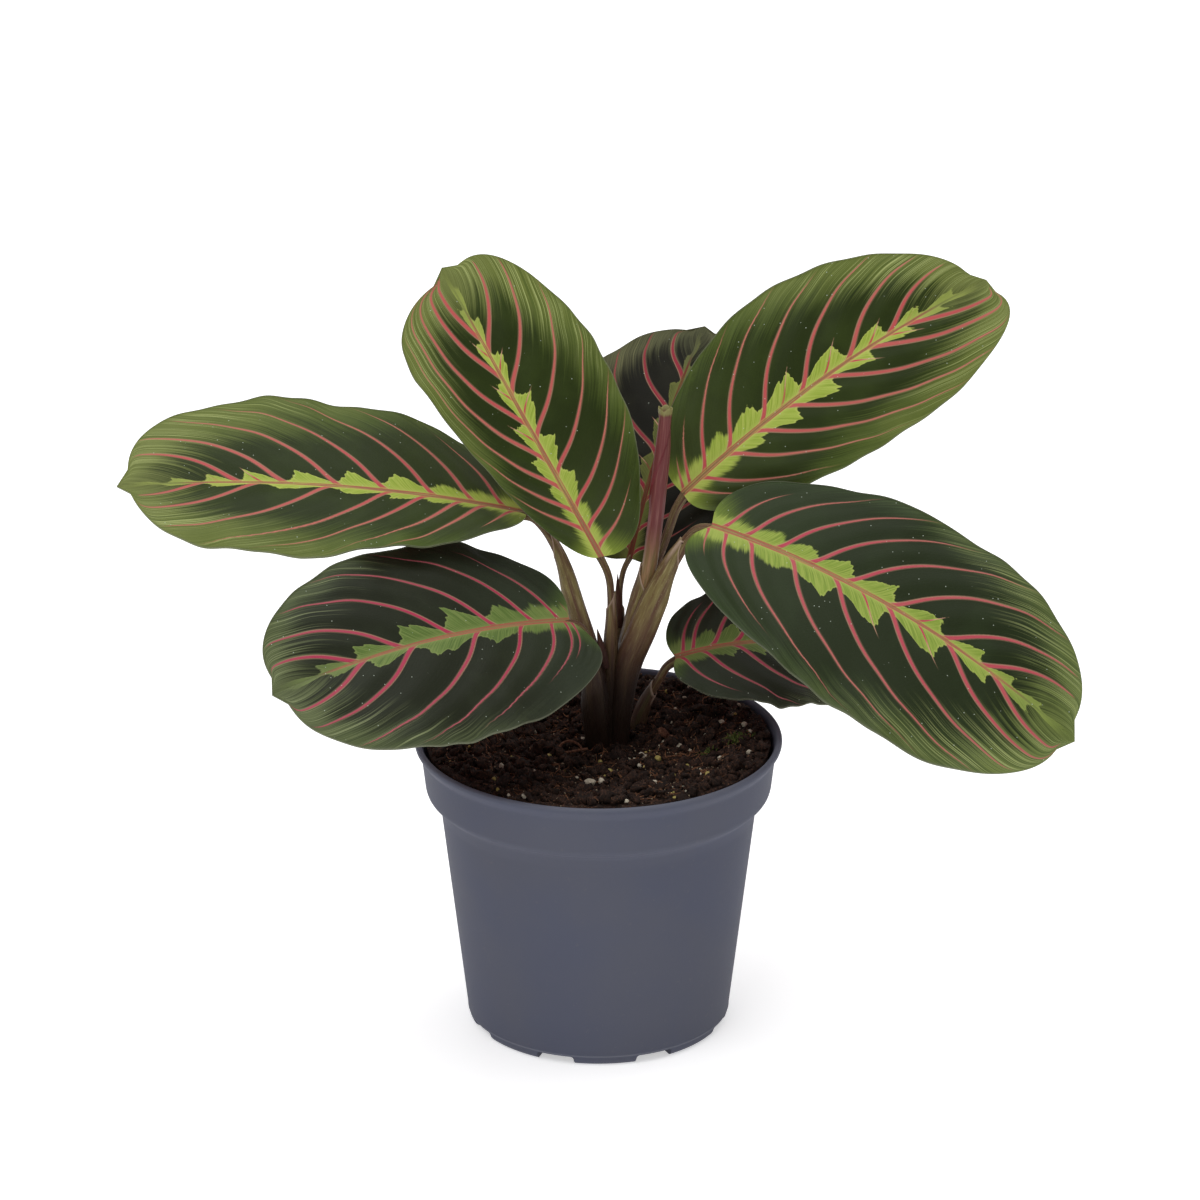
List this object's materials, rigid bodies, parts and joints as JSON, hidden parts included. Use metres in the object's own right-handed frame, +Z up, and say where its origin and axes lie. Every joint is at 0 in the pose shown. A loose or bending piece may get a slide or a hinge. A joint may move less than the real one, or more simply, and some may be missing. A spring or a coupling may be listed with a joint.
{
  "type": "potted prayer plant",
  "caption": "Young red-veined prayer plant with broad patterned leaves, growing in soil in a round tapered plastic nursery pot.",
  "frame": {"origin": "centre of the pot's flat underside", "axes": "+Z up the pot's axis, -Y towards the front view, +X to its right"},
  "size_m": [0.1527, 0.091, 0.1271],
  "materials": {
    "pot_plastic": "blue-grey moulded plastic, matte",
    "soil": "moist dark peat compost with perlite grains, rough",
    "stem": "olive-brown leaf sheaths and stalks, slightly satin",
    "leaf": "dark green blade with a lime centre and rose-red veins, satin",
    "rolled_leaf": "rose-purple to tan young leaf, satin"
  },
  "bodies": {
    "root": {"pot": "pot_plastic", "soil": "soil", "shoot": "stem", "leaf_left": "leaf", "leaf_upper_left": "leaf", "leaf_back": "leaf", "leaf_upper_right": "leaf", "leaf_right": "leaf", "leaf_small_right": "leaf", "leaf_lower_left": "leaf", "rolled_leaf": "rolled_leaf"}
  },
  "joints": []
}
